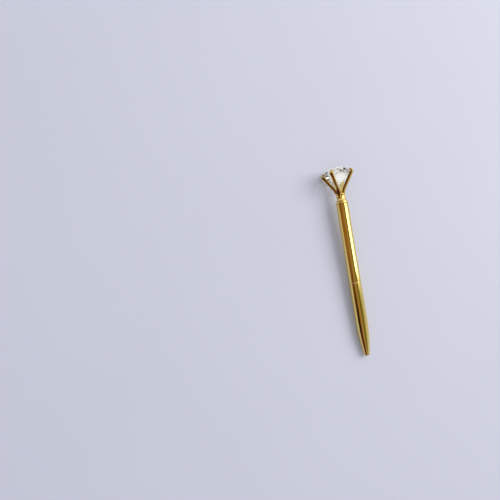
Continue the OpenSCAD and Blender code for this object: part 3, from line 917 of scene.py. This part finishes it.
class PEN_OT_refill(bpy.types.Operator):
    """Refill: a turned point with its ball, and the tube, ink and grease behind it"""
    bl_idname = "pen.refill"
    bl_label = "Refill"

    def execute(self, context):
        look = context.scene.pen_finish
        self.point(look)
        self.ball(look)
        for node, material in (("refill_tube", drawn_refill_brass), ("ink_column", oil_based_ink),
                               ("grease_plug", follower_grease)):
            dress(node, finish(material, look))
        return {"FINISHED"}

    @staticmethod
    def point(look):
        """Nickel silver point: a cone that is rolled in over the ball, a shank and a collar."""
        low, top = span("refill_point")
        collar = reach("refill_point")
        ball_low, ball_top = span("writing_ball")
        ball_r = (ball_top - ball_low) / 2
        ball_z = ball_low + ball_r
        tube_low = span("refill_tube")[0]
        tube_bore = bore("refill_tube") - FIT
        shank, cone, flange = 1.15 * MM, low + 3.2 * MM, tube_low - 0.6 * MM
        lip_r, seat = ball_r + 0.1 * MM, ball_r + FIT
        opening = math.sqrt(seat ** 2 - (ball_z - low) ** 2)
        channel = ball_r / 2
        start = math.degrees(math.asin((low - ball_z) / seat))
        end = math.degrees(math.acos(channel / seat))
        socket = arc((0, ball_z), seat, start, end, 12)
        edge, rolled, shoulder = 0.12 * MM, 0.05 * MM, 1.2 * MM
        outside = rounded([(opening, low), (lip_r, low), (shank, cone), (shank, flange),
                           (collar, flange), (collar, tube_low), (tube_bore, tube_low),
                           (tube_bore, top), (channel, top)],
                          [0, rolled, shoulder, 0, edge, edge / 2, 0, edge, 0])
        points = [tuple(p) for p in outside] + socket[::-1]
        piece = turned_piece("writing_point", points, finish(turned_nickel_silver, look), 96)
        settle(piece, "refill", "refill_point")

    @staticmethod
    def ball(look):
        """Carbide ball that turns in the point."""
        low, top = span("writing_ball")
        radius = (top - low) / 2
        points = arc((0, low + radius), radius, -90, 90, 24)
        points[0], points[-1] = (0, low), (0, top)
        piece = turned_piece("carbide_ball", points, finish(ground_carbide, look), 48, closed=False)
        settle(piece, "ball", "writing_ball")


def dress(node, material):
    """Gives a CAD node that keeps its shape a finished material."""
    mesh = frame["nodes"][node].data
    mesh.materials.clear()
    mesh.materials.append(material)


class PEN_OT_mechanism(bpy.types.Operator):
    """Mechanism: the hidden sleeve, cam, bushes, slider and fastenings, in their real materials"""
    bl_idname = "pen.mechanism"
    bl_label = "Mechanism"

    def execute(self, context):
        look = context.scene.pen_finish
        finishes = {
            "coupling_bush": turned_brass, "mouth_bush": turned_brass,
            "slotted_sleeve": bright_steel, "drive_pin": bright_steel, "head_stud": bright_steel,
            "retaining_clip": spring_steel, "friction_ring": damping_rubber,
            "thrust_washer": moulded_acetal, "cam_tube": moulded_acetal,
            "refill_slider": moulded_acetal,
        }
        for node, material in finishes.items():
            dress(node, finish(material, look))
        return {"FINISHED"}


class PEN_OT_stage(bpy.types.Operator):
    """Stage: pale board, a soft lamp and a dark card, plain surroundings and the camera"""
    bl_idname = "pen.stage"
    bl_label = "Stage"

    def execute(self, context):
        stage = context.scene.pen_stage
        self.floor(context, stage)
        self.lamp_and_card(context, stage)
        self.surroundings(context, stage)
        self.camera(context, stage)
        context.scene.view_settings.view_transform = "Standard"
        return {"FINISHED"}

    @staticmethod
    def floor(context, stage):
        """A flat board just under the pen."""
        half = stage.floor_size / 2
        mesh = bpy.data.meshes.new("table_board")
        mesh.from_pydata([(-half, -half, 0), (half, -half, 0), (half, half, 0), (-half, half, 0)],
                         [], [(0, 1, 2, 3)])
        board = bpy.data.objects.new("table_board", mesh)
        context.scene.collection.objects.link(board)
        mesh.materials.append(finish(smooth_studio_board, stage))

    @staticmethod
    def lamp_and_card(context, stage):
        """A large soft lamp on the right that ends a little beyond the nose, so that the barrel's
        bright line fades near its joint, and a dark card low on the left for its dark line."""
        lamp = bpy.data.lights.new("key_lamp", "AREA")
        lamp.shape = "RECTANGLE"
        lamp.size, lamp.size_y = stage.key_wide, stage.key_tall
        lamp.energy = stage.key * math.pi * stage.key_wide * stage.key_tall
        lamp.color = stage.key_colour
        holder = bpy.data.objects.new("key_lamp", lamp)
        holder.location = (stage.key_away * math.cos(stage.key_rise), stage.key_wide / 2 - stage.key_back,
                           stage.key_away * math.sin(stage.key_rise))
        holder.rotation_euler = (0, math.radians(90) - stage.key_rise, 0)
        holder.rotation_euler.rotate_axis("Z", math.radians(90))
        context.scene.collection.objects.link(holder)
        steps = 14
        bend = [stage.card_from + stage.card_sweep * i / steps for i in range(steps + 1)]
        card = bpy.data.meshes.new("dark_card")
        card.from_pydata([(stage.card_away * math.cos(a), stage.card_away * math.sin(a), z)
                          for z in (stage.card_low, stage.card_high) for a in bend],
                         [], [(i, i + 1, i + steps + 2, i + steps + 1) for i in range(steps)])
        # The card's colours are a painted reflection, seen only in polished metal and through the stone
        card.materials.append(finish(painted_reflection_felt, stage))
        flag = bpy.data.objects.new("dark_card", card)
        flag.visible_camera = False
        flag.visible_diffuse = False
        flag.visible_shadow = False
        context.scene.collection.objects.link(flag)

    @staticmethod
    def surroundings(context, stage):
        """Pale surroundings, plain to the eye and white through clear things. Polished metal sees a
        room: across the pen, from its right over the top to its left, a plain wall and a warm, dim
        ceiling, which give it its dark lines, and a bright part high up beyond the head."""
        world = bpy.data.worlds.new("surroundings")
        context.scene.world = world
        world.use_nodes = True
        tree = world.node_tree
        tree.nodes.clear()
        towards = add(tree, "ShaderNodeTexCoord").outputs["Generated"]
        right, ahead, up = add(tree, "ShaderNodeSeparateXYZ", towards).outputs
        angle = add(tree, "ShaderNodeMath", up, right, operation="ARCTAN2")
        turn = add(tree, "ShaderNodeMath", angle, math.pi, operation="DIVIDE")
        pale, wall, olive = srgb("#DCDEE4"), srgb("#BCC0B4"), srgb("#716C30")
        tan, umber = srgb("#AA8F70"), srgb("#957038")
        across = add(tree, "ShaderNodeValToRGB", turn, stops=(
            (0.0, pale), (0.12, pale), (0.17, wall), (0.28, wall), (0.36, olive), (0.49, olive),
            (0.54, tan), (0.64, tan), (0.72, umber), (0.86, umber), (0.90, pale), (1.0, pale)))
        # The wall and the ceiling are a band across the pen, which fades out towards its two ends
        band_back, band_half, band_end = 0.1, 0.4, 0.65
        moved = add(tree, "ShaderNodeMath", ahead, band_back, operation="ADD")
        off = add(tree, "ShaderNodeMath", moved, operation="ABSOLUTE")
        ends = add(tree, "ShaderNodeMapRange", off, band_half, band_end, 0.0, 1.0)
        room = add(tree, "ShaderNodeMix", ends, across, pale, data_type="RGBA")
        # The bright part needs a direction that points both far enough ahead and far enough up
        ahead_from, ahead_to, up_from, up_to = 0.5, 0.7, 0.5, 0.62
        beyond = add(tree, "ShaderNodeMapRange", ahead, ahead_from, ahead_to, 0.0, 1.0)
        window = add(tree, "ShaderNodeMapRange", up, up_from, up_to, 0.0, beyond)
        daylight = [stage.window * c for c in srgb("#EAF0FF")]
        room = add(tree, "ShaderNodeMix", window, room, daylight, data_type="RGBA")
        ray = add(tree, "ShaderNodeLightPath").outputs
        plain = add(tree, "ShaderNodeMix", ray["Is Transmission Ray"], srgb("#E2E3EA"), (1, 1, 1),
                    data_type="RGBA")
        seen = add(tree, "ShaderNodeMix", ray["Is Glossy Ray"], plain, room, data_type="RGBA")
        power = add(tree, "ShaderNodeMapRange", ray["Is Diffuse Ray"], 0.0, 1.0,
                    stage.fill, stage.fill * stage.fill_share)
        light = add(tree, "ShaderNodeBackground", seen, power)
        add(tree, "ShaderNodeOutputWorld", light)

    @staticmethod
    def camera(context, stage):
        """Camera above the table, left of the pen."""
        data = bpy.data.cameras.new("camera")
        data.lens, data.sensor_width = stage.lens, 36
        data.clip_start, data.clip_end = 0.01, 20
        camera = bpy.data.objects.new("camera", data)
        place = Vector((-stage.left, -stage.back, stage.height))
        look = Vector((-stage.aim_left, stage.aim_ahead, 0)) - place
        forward = look.normalized()
        right = forward.cross(Vector((0, 1, 0))).normalized()
        up = right.cross(forward)
        upright = Matrix((right, up, -forward)).transposed()
        camera.matrix_world = (Matrix.Translation(place) @ upright.to_4x4()
                               @ Matrix.Rotation(-stage.roll, 4, "Z"))
        context.scene.collection.objects.link(camera)
        context.scene.camera = camera


OPERATORS = (PEN_OT_stage, PEN_OT_lower_barrel, PEN_OT_upper_barrel, PEN_OT_trim_rings,
             PEN_OT_crown, PEN_OT_stone, PEN_OT_refill, PEN_OT_mechanism)
SETTINGS = {"pen_barrel": BarrelSizes, "pen_crown": CrownSizes, "pen_stone": StoneSizes,
            "pen_finish": FinishColours, "pen_stage": StageSettings}


class PEN_PT_panel(bpy.types.Panel):
    """Lists the pen's pieces and their sizes in the sidebar"""
    bl_idname = "PEN_PT_panel"
    bl_label = "Crystal crown pen"
    bl_space_type = "VIEW_3D"
    bl_region_type = "UI"
    bl_category = "Pen"

    def draw(self, context):
        for operator in OPERATORS:
            self.layout.operator(operator.bl_idname)
        for key in SETTINGS:
            group = getattr(context.scene, key)
            box = self.layout.box()
            for name in group.__annotations__:
                box.prop(group, name)


CLASSES = (*SETTINGS.values(), *OPERATORS, PEN_PT_panel)


def register():
    for made in CLASSES:
        bpy.utils.register_class(made)
    for key, group in SETTINGS.items():
        setattr(bpy.types.Scene, key, PointerProperty(type=group))


def unregister():
    for key in SETTINGS:
        delattr(bpy.types.Scene, key)
    for made in reversed(CLASSES):
        bpy.utils.unregister_class(made)


def main():
    register()
    bpy.ops.pen.stage()
    bpy.ops.pen.lower_barrel()
    bpy.ops.pen.upper_barrel()
    bpy.ops.pen.trim_rings()
    bpy.ops.pen.crown()
    bpy.ops.pen.stone()
    bpy.ops.pen.refill()
    bpy.ops.pen.mechanism()


if __name__ == "__main__":
    main()
